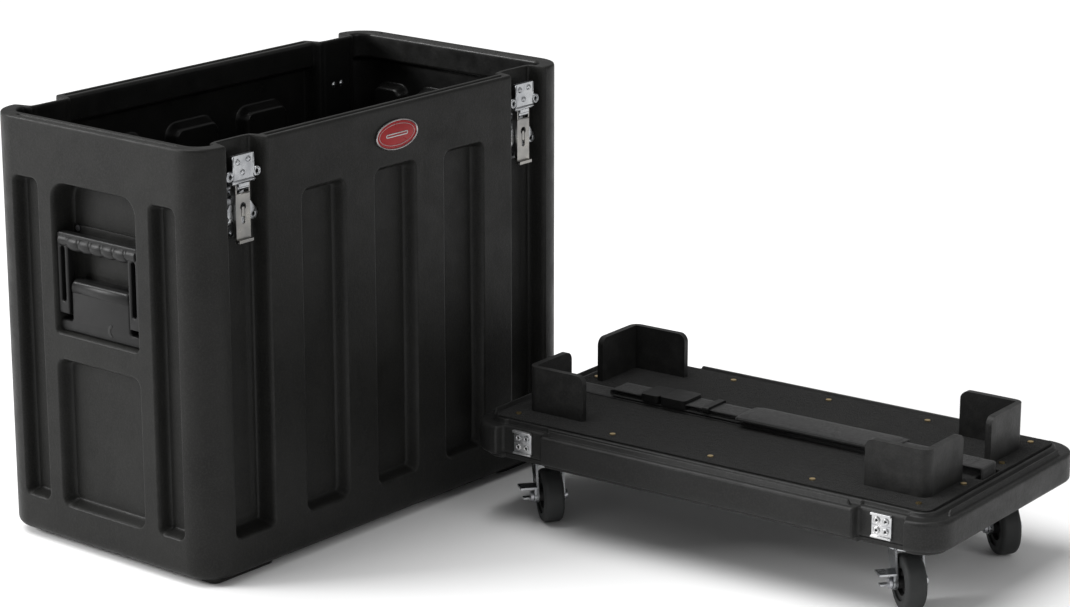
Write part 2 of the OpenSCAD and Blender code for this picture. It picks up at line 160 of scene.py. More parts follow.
def metal(name, base, rough=0.28, streak=(1.0, 1.0, 1.0), stain=(0.55, 0.56, 0.6)):
    """Zinc plate: fine rolling streaks, cloudy passivation and small dark pits."""
    m, t, b = clear(name)
    c = obj_coord(t)
    cloud = noise(t, c, 45.0, 4.0)
    fine = noise(t, c, 900.0, 2.0, 0.6, streak)
    col = mix(t, ramp(t, cloud, [(0.35, 0.0), (0.7, 0.8)]), base, stain)
    pits = ramp(t, noise(t, c, 260.0, 4.0), [(0.64, 0.0), (0.72, 0.4)])
    col = mix(t, pits, col, [v * 0.5 for v in base])
    t.links.new(col, b.inputs["Base Color"])
    b.inputs["Metallic"].default_value = 1.0
    r = ramp(t, cloud, [(0.3, rough - 0.06), (0.75, rough + 0.12)])
    t.links.new(r, b.inputs["Roughness"])
    n1 = bump(t, b, fine, 0.15, 0.0002)
    bump(t, b, cloud, 0.15, 0.0005, n1)
    return m


def plain(name, base, rough, grain=0.15, scale=300.0, spec=0.5):
    m, t, b = clear(name)
    c = obj_coord(t)
    v = ramp(t, noise(t, c, 20.0, 4.0), [(0.3, [x * 0.85 for x in base]), (0.75, [x * 1.25 for x in base])])
    t.links.new(v, b.inputs["Base Color"])
    r = ramp(t, noise(t, c, 70.0, 4.0), [(0.3, rough - 0.05), (0.75, rough + 0.08)])
    t.links.new(r, b.inputs["Roughness"])
    b.inputs["Specular IOR Level"].default_value = spec
    bump(t, b, noise(t, c, scale, 3.0), grain, 0.0004)
    return m


def carpet_material():
    m, t, b = clear("carpet")
    c = obj_coord(t)
    pile = noise(t, c, 520.0, 4.0, 0.8)
    tuft = noise(t, c, 130.0, 3.0, 0.7)
    col = mix(t, ramp(t, pile, [(0.35, 0.0), (0.7, 1.0)]), [0.003, 0.003, 0.003], [0.020, 0.020, 0.019])
    col = mix(t, ramp(t, noise(t, c, 12.0, 3.0), [(0.5, 0.0), (0.8, 0.35)]), col, [0.024, 0.024, 0.023])
    t.links.new(col, b.inputs["Base Color"])
    r = ramp(t, tuft, [(0.3, 0.88), (0.7, 1.0)])
    t.links.new(r, b.inputs["Roughness"])
    b.inputs["Sheen Weight"].default_value = 0.08
    b.inputs["Specular IOR Level"].default_value = 0.1
    n1 = bump(t, b, pile, 1.0, 0.003)
    bump(t, b, tuft, 0.8, 0.003, n1)
    return m


def web_material(name, base):
    """Woven webbing: herringbone ribs across and edge cords along, with fuzz."""
    m, t, b = clear(name)
    uv = t.nodes.new("ShaderNodeTexCoord").outputs["UV"]
    c = obj_coord(t)
    w = add(t, "ShaderNodeTexWave", wave_type="BANDS", bands_direction="X", Scale=190.0, Distortion=0.6)
    w2 = add(t, "ShaderNodeTexWave", wave_type="BANDS", bands_direction="Y", Scale=260.0, Distortion=0.4)
    t.links.new(uv, w.inputs["Vector"])
    t.links.new(uv, w2.inputs["Vector"])
    weave = math_node(t, "MULTIPLY", w.outputs["Fac"], w2.outputs["Fac"])
    col = mix(t, ramp(t, weave, [(0.1, 0.0), (0.8, 1.0)]), [v * 0.5 for v in base], [v * 1.7 for v in base])
    col = mix(t, ramp(t, noise(t, c, 40.0, 4.0), [(0.5, 0.0), (0.8, 0.4)]), col, [v * 2.4 for v in base])
    t.links.new(col, b.inputs["Base Color"])
    r = ramp(t, noise(t, c, 200.0, 3.0), [(0.3, 0.62), (0.7, 0.85)])
    t.links.new(r, b.inputs["Roughness"])
    b.inputs["Sheen Weight"].default_value = 0.1
    n1 = bump(t, b, weave, 0.7, 0.0007)
    bump(t, b, noise(t, c, 900.0, 2.0), 0.3, 0.0003, n1)
    return m


SHELL = moulded("shell_plastic", [0.0070, 0.0070, 0.0065], [0.0115, 0.0115, 0.0107], rough=0.44, spec=0.17)
BASEP = moulded("base_plastic", [0.010, 0.010, 0.0098], [0.0150, 0.0150, 0.0146], rough=0.43, spec=0.22)
INNER = moulded("inner_plastic", [0.004, 0.004, 0.004], [0.007, 0.007, 0.0066], rough=0.34, spec=0.3,
                grain=0.2)
ZINC = metal("zinc", [0.46, 0.47, 0.48], rough=0.26, stain=(0.30, 0.31, 0.33))
ZINC_D = metal("zinc_lever", [0.34, 0.33, 0.31], rough=0.3, stain=(0.24, 0.24, 0.24))
ZINC2 = metal("zinc_strike", [0.62, 0.62, 0.62], rough=0.34, stain=(0.44, 0.45, 0.47))
STEEL = metal("pin_steel", [0.50, 0.50, 0.52], rough=0.35)
BRASS = metal("brass_screw", [0.72, 0.55, 0.28], rough=0.3, stain=(0.5, 0.36, 0.16))
NYLON = plain("gloss_black", [0.006, 0.006, 0.006], 0.43, 0.1, 260.0, 0.25)
RUBBER = plain("rubber", [0.024, 0.025, 0.025], 0.62, 0.4, 160.0, 0.3)
HUB = plain("hub_plastic", [0.016, 0.016, 0.016], 0.5)
CARPET = carpet_material()
WEB = web_material("webbing", [0.009, 0.009, 0.009])
SLEEVE = web_material("sleeve_cloth", [0.012, 0.012, 0.012])
BADGE = plain("badge_red", [0.26, 0.006, 0.008], 0.3, 0.05, 60.0, 0.25)
SILVER = metal("badge_ring", [0.40, 0.38, 0.38], rough=0.25, stain=(0.3, 0.28, 0.28))
THREAD = plain("thread", [0.03, 0.03, 0.03], 0.7, 0.3, 800.0)


# ---------------------------------------------------------------- mesh helpers
def make(name, verts, faces, material, smooth=True, mats=None, index=None):
    me = bpy.data.meshes.new(name)
    me.from_pydata([tuple(v) for v in np.asarray(verts, float) * MM], [], faces)
    me.update()
    o = bpy.data.objects.new(name, me)
    bpy.context.collection.objects.link(o)
    for m in mats or [material]:
        me.materials.append(m)
    if index is not None:
        me.polygons.foreach_set("material_index", np.asarray(index, np.int32))
    me.polygons.foreach_set("use_smooth", [smooth] * len(me.polygons))
    return o


def to_cover(p):
    p = np.asarray(p, float).copy()
    c, s = math.cos(TURN), math.sin(TURN)
    x, y = p[..., 0].copy(), p[..., 1].copy()
    p[..., 0] = c * x - s * y + COVER[0]
    p[..., 1] = s * x + c * y + COVER[1]
    return p


def to_base(p):
    p = np.asarray(p, float).copy()
    p[..., 0] += BASE[0]
    p[..., 1] += BASE[1]
    return p


def grid_faces(rows, cols, wrap=True, flip=False):
    f = []
    n = cols if wrap else cols - 1
    for r in range(rows - 1):
        for c in range(n):
            a, b = r * cols + c, r * cols + (c + 1) % cols
            d, e = a + cols, b + cols
            f.append((a, d, e, b) if flip else (a, b, e, d))
    return f


def lines(lo, hi, edges, coarse=14.0):
    """Grid lines from lo to hi, dense round each edge."""
    near = np.r_[-30, -24, -19, -15, -12:12.1:1.5, 15, 19, 24, 30]   # offsets from an edge
    v = [lo, hi]
    for e in edges:
        v += [e + d for d in near if lo < e + d < hi]
    v = np.array(sorted(v))
    keep = [v[0]]
    for x in v[1:]:
        if x - keep[-1] > 0.9:
            keep.append(x)
    keep[-1] = hi
    out = [keep[0]]
    for x in keep[1:]:
        n = max(1, int(math.ceil((x - out[-1]) / coarse)))
        a = out[-1]
        out += [a + (x - a) * (i + 1) / n for i in range(n)]
    return np.array(out)


def smooth(x):
    x = np.clip(x, 0, 1)
    return x * x * (3 - 2 * x)


def round_box(u, z, uc, zc, hw, hh, r):
    """Signed distance to a round-cornered rectangle, negative inside."""
    dx, dz = np.abs(u - uc) - (hw - r), np.abs(z - zc) - (hh - r)
    return np.hypot(np.maximum(dx, 0), np.maximum(dz, 0)) + np.minimum(np.maximum(dx, dz), 0) - r


def outline(xs, ys, r, arc=12):
    """Plan outline: points, inward normals, side (0 front, 1 right, 2 back, 3 left, -1 corner) and position along it."""
    p, n, side, u = [], [], [], []

    def push(x, y, nx, ny, s, t):
        p.append((x, y))
        n.append((nx, ny))
        side.append(s)
        u.append(t)

    def corner(cx, cy, a0):
        for i in range(1, arc):
            a = math.radians(a0 + 90 * i / arc)
            push(cx + r * math.cos(a), cy + r * math.sin(a), -math.cos(a), -math.sin(a), -1, 0)

    for x in xs:
        push(x, -HY, 0, 1, 0, x)
    corner(HX - r, -HY + r, -90)
    for y in ys:
        push(HX, y, -1, 0, 1, y)
    corner(HX - r, HY - r, 0)
    for x in xs[::-1]:
        push(x, HY, 0, -1, 2, x)
    corner(-HX + r, HY - r, 90)
    for y in ys[::-1]:
        push(-HX, y, 1, 0, 3, y)
    corner(-HX + r, -HY + r, 180)
    return np.array(p), np.array(n), np.array(side), np.array(u)


# ---------------------------------------------------------------- cover
CH = 590.0                                 # height of the rim
RIB_X, RIB_HALF = 142, 43                  # long-side recesses
SLOT_Y, SLOT_HALF = 129, 25                # short-side slots


def cover_depth(side, u, z, grow=0.0):
    """How far the wall is pushed in at a point of the outline and a height."""
    d = np.zeros(np.broadcast(u, z).shape)

    def press(mask, sd, depth, w):
        nonlocal d
        v = depth * smooth(-(sd - grow) / w)
        d = np.where(mask, np.maximum(d, v), d)

    long_side = (side == 0) | (side == 2)
    short_side = (side == 1) | (side == 3)
    for x in (-RIB_X, 0, RIB_X):
        press(long_side, round_box(u, z, x, 284, RIB_HALF, 225, 15), RECESS_DEPTH, 10)
    for x in (-LATCH_X, LATCH_X):
        press(long_side, round_box(u, z, x, 460, CHANNEL_HALF, 402, 12), CHANNEL_DEPTH, 9)
        press(long_side, round_box(u, z, x, 400, 30, 330, 10), 27, 9)
    for y in (-SLOT_Y, SLOT_Y):
        press(short_side, round_box(u, z, y, 285, SLOT_HALF, 226, 12), RECESS_DEPTH, 9)
    press(short_side, round_box(u, z, 0, 164, 80, 106, 16), 18, 10)
    press(short_side, round_box(u, z, 0, 407.5, 80, 105, 26), 34, 10)
    press(short_side, round_box(u, z, 0, 350, 80, 47.5, 9), 34, 10)
    return d


def both(place, half):
    """The two edges of a feature at each of two mirrored places."""
    return [s * (place + e) for e in (-half, half) for s in (-1, 1)]


xs = lines(PLAN_R - HX, HX - PLAN_R,
           both(RIB_X, RIB_HALF) + [-RIB_HALF, RIB_HALF] + both(LATCH_X, CHANNEL_HALF))
ys = lines(PLAN_R - HY, HY - PLAN_R, both(SLOT_Y, SLOT_HALF) + [-80, 80])
zs = lines(22, 580, [58, 270, 303, 509, 552], 16.0)
zs = zs[(zs > 21.9) & (zs < 580.1)]
P, N, side, U = outline(xs, ys, PLAN_R)
K = len(P)


def ring(inset, z):
    q = P + N * np.reshape(inset, (-1, 1))
    return np.column_stack([q, np.broadcast_to(z, K)])


def skin(name, rows, place, material, mats=None, inner_from=None):
    """Closed surface through the rings, capped at both ends."""
    faces = grid_faces(len(rows), K)
    index = None
    if mats:
        index = [1 if i // K >= inner_from else 0 for i in range(len(faces))] + [0, 1]
    faces.append(tuple(range(K))[::-1])
    faces.append(tuple(range((len(rows) - 1) * K, len(rows) * K)))
    return make(name, place(np.concatenate(rows)), faces, material, mats=mats, index=index)


EDGE_R = 12.0                              # lower outside edge
rows = []
for a in np.radians([0, 15, 30, 45, 60, 75]):
    roll = EDGE_R * (1 - math.sin(a))
    rows.append(ring(np.full(K, roll) + cover_depth(side, U, 22.0), 8 + EDGE_R * (1 - math.cos(a))))
for z in zs:
    rows.append(ring(cover_depth(side, U, z), z))
Dout = cover_depth(side, U, CH)


def inner_inset(z):
    """Inset of the inside wall: 6 mm, 22 mm at the rim, and 6 mm behind whatever is pressed in from outside."""
    wall = 6 + 16 * smooth((z - 546) / 9.0)
    pressed = cover_depth(side, U, z, 6.0)
    return np.maximum(wall, np.where(pressed > 0.5, pressed + 6, 0))


Din = inner_inset(CH)
T = Din - Dout
long_run = ((side == 0) | (side == 2)) & (np.abs(U) < 239)
short_run = ((side == 1) | (side == 3)) & (np.abs(U) < 150)
g = np.where(long_run, smooth((239 - np.abs(U)) / 3), 0) + np.where(short_run,
                                                                    smooth((150 - np.abs(U)) / 3), 0)
for dz, t in ((5.0, 0.0), (2.4, 0.01), (0.8, 0.05), (0.1, 0.11)):
    rows.append(ring(Dout + t * T, CH - dz))
for t, h in ((0.14, 0), (0.30, 0), (0.345, 0.6), (0.37, 9), (0.60, 9), (0.625, 0.6), (0.67, 0), (0.86, 0)):
    rows.append(ring(Dout + t * T, CH - h * g))
for dz, t in ((0.1, 0.89), (0.8, 0.95), (2.4, 0.99), (5.0, 1.0)):
    rows.append(ring(Dout + t * T, CH - dz))
inside_first = len(rows)
for z in zs[::-1]:
    rows.append(ring(inner_inset(z), z))
for a in np.radians([15, 35, 55, 75, 90]):
    rows.append(ring(inner_inset(22.0) + 8 * (1 - math.cos(a)), 22 - 8 * math.sin(a)))
cover = skin("cover_skin", rows, to_cover, None, [SHELL, INNER], inside_first - 2)
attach(cover, "cover")
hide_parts("cover_shell")


def soft_slab(name, length, width, r, z0, z1, e, centre, place, material, body):
    """Low slab with a round-cornered plan and a rolled upper and lower edge."""
    pts = []
    n = 8
    for (sx, sy, a0) in ((1, -1, -90), (1, 1, 0), (-1, 1, 90), (-1, -1, 180)):
        for i in range(n + 1):
            a = math.radians(a0 + 90 * i / n)
            pts.append((sx * (length / 2 - r), sy * (width / 2 - r), math.cos(a), math.sin(a)))
    pts = np.array(pts)
    vv = []
    for z, i in ((z0, e), (z0 + 0.3 * e, 0.3 * e), (z0 + e, 0), (z1 - e, 0), (z1 - 0.3 * e, 0.3 * e),
                 (z1, e)):
        q = pts[:, :2] + pts[:, 2:] * (r - i)
        vv.append(np.column_stack([q, np.full(len(q), z)]))
    k = len(pts)
    f = grid_faces(6, k)
    f.append(tuple(range(k))[::-1])
    f.append(tuple(range(5 * k, 6 * k)))
    v = np.concatenate(vv)
    v[:, :2] += centre
    o = make(name, place(v), f, material)
    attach(o, body)
    return o


QUARTERS = [(sx, sy) for sx in (-1, 1) for sy in (-1, 1)]
for k, (sx, sy) in enumerate(QUARTERS, 1):
    soft_slab(f"stack_pad_{k}", 116, 34, 12, 0, 11, 3, (sx * 290, sy * 168), to_cover, SHELL, "cover")


# ---------------------------------------------------------------- plates cut from outlines
def arc_pts(cx, cy, r, a0, a1, n=10):
    angles = [math.radians(a0 + (a1 - a0) * i / n) for i in range(n + 1)]
    return [(cx + r * math.cos(a), cy + r * math.sin(a)) for a in angles]


def rect_pts(cx, cy, w, h, r):
    x, y = w / 2 - r, h / 2 - r
    return (arc_pts(cx + x, cy - y, r, -90, 0, 6) + arc_pts(cx + x, cy + y, r, 0, 90, 6)
            + arc_pts(cx - x, cy + y, r, 90, 180, 6) + arc_pts(cx - x, cy - y, r, 180, 270, 6))


def oval_pts(cx, cy, a, b, n=48):
    turns = [2 * math.pi * i / n for i in range(n)]
    return [(cx + a * math.cos(t), cy + b * math.sin(t)) for t in turns]


def plate(name, loops, w0, w1, bevel, place, material, body):
    """Flat piece from closed outlines, the edge first and then any holes, from w0 to w1, with rounded edges."""
    cu = bpy.data.curves.new(name, "CURVE")
    cu.dimensions = "2D"
    cu.fill_mode = "BOTH"
    for pts in loops:
        sp = cu.splines.new("POLY")
        sp.points.add(len(pts) - 1)
        for p, (x, y) in zip(sp.points, pts):
            p.co = (x, y, 0, 1)
        sp.use_cyclic_u = True
    cu.extrude = (w1 - w0) / 2 - bevel
    cu.bevel_depth = bevel
    cu.bevel_resolution = 2
    cu.offset = -bevel
    tmp = bpy.data.objects.new("tmp", cu)
    bpy.context.collection.objects.link(tmp)
    bpy.context.view_layer.update()
    me = bpy.data.meshes.new_from_object(tmp.evaluated_get(bpy.context.evaluated_depsgraph_get()))
    bpy.data.objects.remove(tmp)
    v = np.zeros(len(me.vertices) * 3)
    me.vertices.foreach_get("co", v)
    v = v.reshape(-1, 3)
    v[:, 2] += (w0 + w1) / 2
    f = [tuple(p.vertices) for p in me.polygons]
    bpy.data.meshes.remove(me)
    o = make(name, place(v), f, material)
    bm = bmesh.new()
    bm.from_mesh(o.data)
    bmesh.ops.remove_doubles(bm, verts=bm.verts, dist=0.00002)
    bm.to_mesh(o.data)
    bm.free()
    o.data.set_sharp_from_angle(angle=math.radians(40))
    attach(o, body)
    return o


def tube(name, path, radii, place, material, body, sides=14):
    """Round bar along a path, with a radius at each point."""
    path = np.asarray(path, float)
    d = np.gradient(path, axis=0)
    d /= np.linalg.norm(d, axis=1)[:, None]
    ref = np.array([0.0, 0.0, 1.0]) if abs(d[0][2]) < 0.8 else np.array([1.0, 0.0, 0.0])
    v = []
    for p, t, r in zip(path, d, radii):
        a = np.cross(t, ref)
        a /= np.linalg.norm(a)
        b = np.cross(t, a)
        for i in range(sides):
            th = 2 * math.pi * i / sides
            v.append(p + r * (math.cos(th) * a + math.sin(th) * b))
    f = grid_faces(len(path), sides)
    f.append(tuple(range(sides))[::-1])
    f.append(tuple(range((len(path) - 1) * sides, len(path) * sides)))
    o = make(name, place(np.array(v)), f, material)
    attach(o, body)
    return o


AROUND = 10                                # points round each small dome


def many(name, shapes, place, material, body):
    """One mesh of many small domes or stitches: each is (centre, half sizes along a, b, n, axes a, b)."""
    v, f = [], []
    for c, (ra, rb, rn), a, b in shapes:
        c, a, b = np.array(c, float), np.array(a, float), np.array(b, float)
        n = np.cross(a, b)
        k0 = len(v)
        for lat in (0, 30, 60):
            cl, sl = math.cos(math.radians(lat)), math.sin(math.radians(lat))
            for i in range(AROUND):
                th = 2 * math.pi * i / AROUND
                v.append(c + ra * cl * math.cos(th) * a + rb * cl * math.sin(th) * b + rn * sl * n)
        v.append(c + rn * n)
        for r in (0, AROUND):
            for i in range(AROUND):
                j = (i + 1) % AROUND
                f.append((k0 + r + i, k0 + r + j, k0 + r + AROUND + j, k0 + r + AROUND + i))
        top = k0 + 2 * AROUND
        for i in range(AROUND):
            f.append((top + i, top + (i + 1) % AROUND, top + AROUND))
    o = make(name, place(np.array(v)), f, material)
    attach(o, body)
    return o


def face_place(to_row, x0, face, turned=False):
    """(across, up, out of a front face) to the row frame; turned puts it on the back."""
    def f(p):
        p = np.asarray(p, float)
        q = np.column_stack([p[:, 0] + x0, face - p[:, 2], p[:, 1]])
        if turned:
            q[:, :2] *= -1
        return to_row(q)
    return f


# ---------------------------------------------------------------- handles
TRAY_X = -336                              # plane of the tray floor


def handle_place(far):
    """(across, up, out of the tray floor) to the row frame."""
    def f(p):
        p = np.asarray(p, float)
        q = np.column_stack([TRAY_X - p[:, 2], -p[:, 0], p[:, 1]])
        if far:
            q[:, :2] *= -1
        return to_cover(q)
    return f


for far in (False, True):
    n = "far" if far else "near"
    pl = handle_place(far)
    grip_body = f"handle_grip_{n}"
    floor_plate = plate(f"tray_floor_{n}", [rect_pts(0, 377, 155, 143, 8)], 0.1, 2.9, 0.5, pl, SHELL, "cover")
    body_line = ([(-78.5, 306), (78.5, 306), (78.5, 321.5), (58, 321.5), (55, 325)] + arc_pts(48, 371,
                                                                                              7, 0, 90, 8)
                 + arc_pts(-48, 371, 7, 90, 180, 8) + [(-55, 325), (-58, 321.5), (-78.5, 321.5)])
    plate(f"tray_housing_{n}", [body_line], 1, 26, 3.2, pl, NYLON, "cover")
    tube(f"tray_housing_cap_{n}", [(x, 368, 16) for x in (-54.5, -52, 52, 54.5)], [9.5, 11.9, 11.9, 9.5],
         pl, NYLON, "cover", 32)
    # painted shade: a thin crescent sheet of the dark inner plastic on the housing face stands in for the shade in
    # the gap under the grip
    painted_shade_crescent = arc_pts(22, 321, 9, 100, 260, 12) + arc_pts(25.5, 321, 7.4, 245, 115, 12)
    plate(f"tray_gap_painted_shade_{n}", [painted_shade_crescent], 25.6, 26.5, 0.2, pl, INNER, "cover")
    for s, k in SIDES:
        plate(f"tray_rail_{n}_{k}", [rect_pts(s * 78.6, 390, 1.5, 116, 0.6)], 2, 12, 0.5, pl, NYLON, "cover")
    bar = ([(-77, 331)] + arc_pts(-71, 437, 6, 180, 90, 5) + arc_pts(71, 437, 6, 90, 0,
                                                                     5) + [(77, 331), (57.5, 331)]
           + arc_pts(53, 422, 4, 0, 90, 5) + arc_pts(-53, 422, 4, 90, 180, 5) + [(-57.5, 331)])
    holes = [rect_pts(s * 67, 386, 8, 76, 3.9) for s in (-1, 1)]
    g1 = plate(f"grip_frame_{n}", [bar] + holes, 17, 29, 2.2, pl, NYLON, grip_body)
    us = np.linspace(-74, 74, 149)                        # along the bar, with a swell for each finger
    swell = np.abs(np.cos(math.pi * us / 22.0)) ** 0.6 * smooth((58 - np.abs(us)) / 4)
    rr = 9.3 + 1.9 * swell
    rr *= np.clip(smooth((75.5 - np.abs(us)) / 3), 0.4, 1)
    tube(f"grip_bar_{n}", np.column_stack([us, 431.5 - 1.6 * swell, np.full(len(us), 22.4)]), rr,
         pl, NYLON, grip_body, 24)
    for s, k in SIDES:
        tube(f"grip_ear_{n}_{k}", [(s * x, 336, 16) for x in (57, 60, 74, 76.5)], [7, 9, 9, 7.5],
             pl, NYLON, grip_body, 24)
    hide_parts(f"handle_tray_{n}")
    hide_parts(f"handle_grip_{n}")


# ---------------------------------------------------------------- badge
BADGE_AT = (2, 549)
front = face_place(to_cover, 0, -HY)


def badge_ring(name, outer, inner, w0, w1, bevel, shape=oval_pts):
    return plate(name, [shape(*BADGE_AT, *outer), shape(*BADGE_AT, *inner)], w0, w1, bevel, front,
                 SILVER, "cover")


badge_ring("badge_ring", (42, 21), (39.4, 18.6), -1, 3.0, 1.1)
disc = plate("badge_face", [oval_pts(*BADGE_AT, 40, 19.2)], -1, 1.6, 0.5, front, BADGE, "cover")
badge_ring("badge_line", (35.6, 15.0), (34.8, 14.3), 0, 2.0, 0.2)
badge_ring("badge_bar", (44, 5.5, 2.5), (40, 2.0, 0.9), 0, 2.1, 0.3, rect_pts)
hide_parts("badge")


# ---------------------------------------------------------------- latch extras
def domes(spots, w, size):
    """Round domes facing out of a plate, at spots given as (across, up)."""
    return [((x, z, w), size, (1, 0, 0), (0, 1, 0)) for x, z in spots]


HOOK_RIVETS = ((-10, 563), (9, 565), (-2, 549))
EAR = arc_pts(24, 489, 8, -165, 62, 18) + [(18.5, 508), (14.8, 506), (15.2, 496)]
EAR_HOLE = oval_pts(24, 488, 2.7, 2.9, 20)
th = np.linspace(0, 2 * math.pi, 25)
for i in range(1, 5):
    pl = face_place(to_cover, -LATCH_X if i % 2 == 1 else LATCH_X, CHANNEL_DEPTH - HY, i > 2)
    hook, lever = f"latch_hook_{i}", f"latch_lever_{i}"
    for s, k in SIDES:
        plate(f"latch_ear_{i}_{k}", [[(s * x, z) for x, z in EAR], [(s * x, z) for x, z in EAR_HOLE]],
              9, 11, 0.5,
              pl, ZINC, "cover")
        tube(f"latch_ear_post_{i}_{k}", [(s * 16.7, 502, w) for w in (0, 5, 9.6)], [2, 2, 1.6], pl,
             ZINC, "cover", 8)
    tube(f"hook_roll_{i}", [(x, 537, 17) for x in (-21, -19, 19, 21)], [2, 3.2, 3.2, 2], pl, ZINC, hook)
    for s, k in SIDES:
        eye = np.column_stack([s * 25 + 5.2 * np.cos(th), 546 + 5.2 * np.sin(th), np.full(25, 17.6)])
        tube(f"hook_eye_{i}_{k}", eye, np.full(25, 1.9), pl, ZINC, hook, 10)
        tube(f"hook_edge_{i}_{k}", [(s * 18.4, z, 18) for z in (541, 555, 571)], [1.2, 1.4, 1.4], pl,
             ZINC, hook, 10)
    many(f"hook_rivets_{i}", domes(HOOK_RIVETS, 18.4, (4.2, 4.2, 2.6)), pl, ZINC, hook)
    many(f"hook_rivet_pips_{i}", domes(HOOK_RIVETS, 20.6, (1.2, 1.2, 0.6)), pl, STEEL, hook)
    tube(f"lever_wire_{i}", [(14.5, 533, 13), (14.5, 524, 13), (15, 510, 12), (16.5, 498, 8)], [1.1] * 4,
         pl, ZINC_D, lever, 8)
    tube(f"lever_lip_{i}", [(-13.4, 457.5, 17.5), (-12, 457, 18.5), (12, 457, 18.5), (13.4, 457.5, 17.5)],
         [1.2, 2.1, 2.1, 1.2], pl, ZINC_D, lever, 10)
    plate(f"lever_catch_{i}", [rect_pts(0, 496, 5, 14, 2)], 13.4, 16.4, 0.6, pl, ZINC_D, lever)
    tube(f"lever_crease_{i}", [(-12.6, 520, 16), (0, 520, 16.1), (12.6, 520, 16)], [0.7, 0.8, 0.7],
         pl, ZINC_D, lever, 8)
    # rivet ends on the inside wall face the other way
    many(f"latch_back_rivets_{i}", [((x, z, -5.8), (5.5, 5.5, 3.2), (-1, 0, 0), (0, 1, 0))
                                    for x in (-8, 8) for z in (468, 522)], pl, ZINC, "cover")


# ---------------------------------------------------------------- base
STRIKE_DEPTH = 14
BASE_TOP_Z = 142                           # foot of the tongue and the ridge


def strike_depth(side, u):
    """How far the band is pushed in at the four strike recesses."""
    d = np.zeros(len(u))
    for x in (-LATCH_X, LATCH_X):
        v = STRIKE_DEPTH * smooth((CHANNEL_HALF - np.abs(u - x)) / 5.0)
        d = np.where((side == 0) | (side == 2), np.maximum(d, v), d)
    return d


bx_lines = lines(PLAN_R - HX, HX - PLAN_R, both(LATCH_X, CHANNEL_HALF) + [-237, 237])
by_lines = lines(PLAN_R - HY, HY - PLAN_R, [-150, 150])
P, N, side, U = outline(bx_lines, by_lines, PLAN_R)
K = len(P)
Ds = strike_depth(side, U)
rows = []
# skirt, from the inside up to the band
for inset, z in ((20, 96), (18, 94.6), (16, 94), (13.5, 94.2), (12.3, 95.4), (12, 97), (11.6, 100), (9, 101),
                 (6, 101)):
    rows.append(ring(np.maximum(inset, Ds + inset * 0.35), z))
for a in np.radians([20, 45, 70, 90]):
    rows.append(ring(6 * (1 - math.sin(a)) + Ds, 101 + 6 * (1 - math.cos(a))))
for z in (112, 120, 128, 135):
    rows.append(ring(Ds, z))
for a in np.radians([0, 20, 45, 70, 88]):
    rows.append(ring(5 * (1 - math.cos(a)) + Ds, 137 + 5 * math.sin(a)))
mask = np.where(((side == 0) | (side == 2)) & (np.abs(U) < 240), smooth((238 - np.abs(U)) / 4), 0)
mask = mask + np.where(((side == 1) | (side == 3)) & (np.abs(U) < 152), smooth((151 - np.abs(U)) / 4), 0)
# inset, tongue height and ridge height, from the outside to the deck
for inset, tz, rz in ((7.6, 0, 0), (8.8, 0.5, 0), (9.2, 6.2, 0), (10.2, 7, 0), (11.8, 7, 0), (12.8, 6.2, 0),
                      (13.2, 0.5, 0), (14.5, 0, 0), (18.6, 0, 0), (20.6, 0, 0.5), (21.2, 0, 4.6),
                      (22.6, 0, 6),
                      (26, 0, 6), (27.4, 0, 5), (28, 0, 0), (31, 0, -1)):
    rows.append(ring(np.maximum(inset, Ds + 5.2 + (inset - 7) * 0.3), BASE_TOP_Z + tz * mask + rz))
tray = skin("base_skin", rows, to_base, BASEP)
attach(tray, "base")
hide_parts("base_tray")

for k, (sx, sy) in enumerate(QUARTERS, 1):
    soft_slab(f"caster_pad_{k}", 112, 92, 10, 97.8, 110, 2, (sx * 285, sy * 128), to_base, BASEP, "base")


# ---------------------------------------------------------------- CAD pieces that show as they are
def dress(node, material, bevel=0.0, segments=2):
    """Material and, where asked, rounded edges on a CAD node."""
    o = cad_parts[node]
    o.data.materials.clear()
    o.data.materials.append(material)
    if bevel:
        d = o.modifiers.new("flat", "DECIMATE")
        d.decimate_type = "DISSOLVE"
        d.angle_limit = math.radians(2)
        b = o.modifiers.new("edge", "BEVEL")
        b.width = bevel * MM
        b.segments = segments
        b.limit_method = "ANGLE"
        b.angle_limit = math.radians(35)
    o.data.polygons.foreach_set("use_smooth", [True] * len(o.data.polygons))


for i in range(1, 5):
    dress(f"latch_base_{i}", ZINC, 0.3)
    dress(f"latch_lever_{i}", ZINC_D, 0.5)
    dress(f"latch_hook_{i}", ZINC, 0.4)
    dress(f"caster_fork_{i}", ZINC, 0.5)
    dress(f"caster_axle_{i}", STEEL, 0.5)
    dress(f"brake_pedal_{i}", ZINC, 0.5)
    dress(f"wheel_hub_{i}", HUB, 0.4)
    dress(f"wheel_tyre_{i}", RUBBER)
dress("latch_pins", STEEL)
dress("latch_rivets", ZINC, 0.4)
dress("handle_pins", STEEL)
dress("handle_springs", STEEL)
dress("handle_screws", STEEL, 0.5)
dress("deck_panel", CARPET, 2.0, 3)
dress("deck_screws", BRASS, 0.6)
dress("corner_brackets", BASEP, 2.0, 3)
dress("caster_plates", ZINC, 0.5)
dress("caster_bolts", STEEL, 0.4)
dress("strap_anchors", STEEL)
dress("strap_keeper", NYLON, 0.8)
dress("buckle_socket", NYLON, 1.5, 3)
dress("buckle_plug", NYLON, 1.0, 3)


